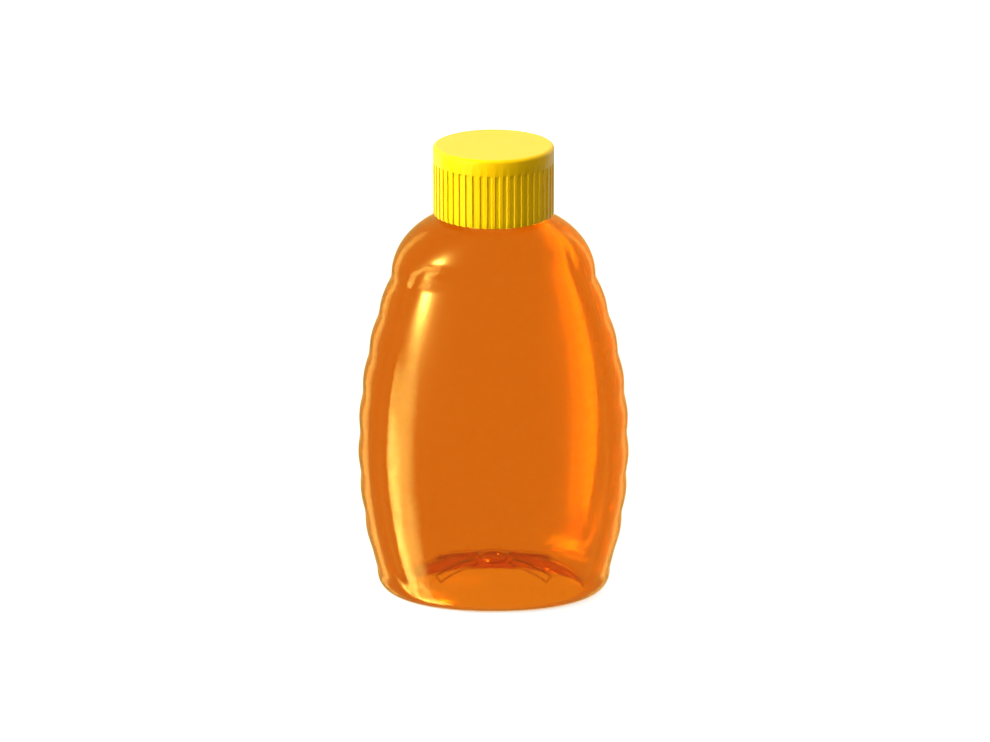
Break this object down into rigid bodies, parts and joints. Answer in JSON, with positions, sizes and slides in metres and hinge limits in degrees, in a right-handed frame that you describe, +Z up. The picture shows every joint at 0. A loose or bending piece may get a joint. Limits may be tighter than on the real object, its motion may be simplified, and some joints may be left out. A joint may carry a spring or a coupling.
{
  "type": "honey bottle",
  "caption": "Clear oval squeeze bottle full of honey, with scalloped grip sides, creased face panels, a ribbed push-up base and a yellow ribbed screw cap.",
  "frame": {"origin": "middle of the base, on the surface that the bottle stands on", "axes": "+Z up through the cap, X across the wide faces, -Y out of the front face"},
  "size_m": [0.0914, 0.0532, 0.1563],
  "materials": {
    "clear_plastic": "clear, glossy, slightly amber",
    "honey": "clear amber liquid",
    "yellow_plastic": "semi-gloss moulded plastic"
  },
  "bodies": {
    "root": {"bottle": "clear_plastic", "honey": "honey", "cap": "yellow_plastic"}
  },
  "joints": []
}
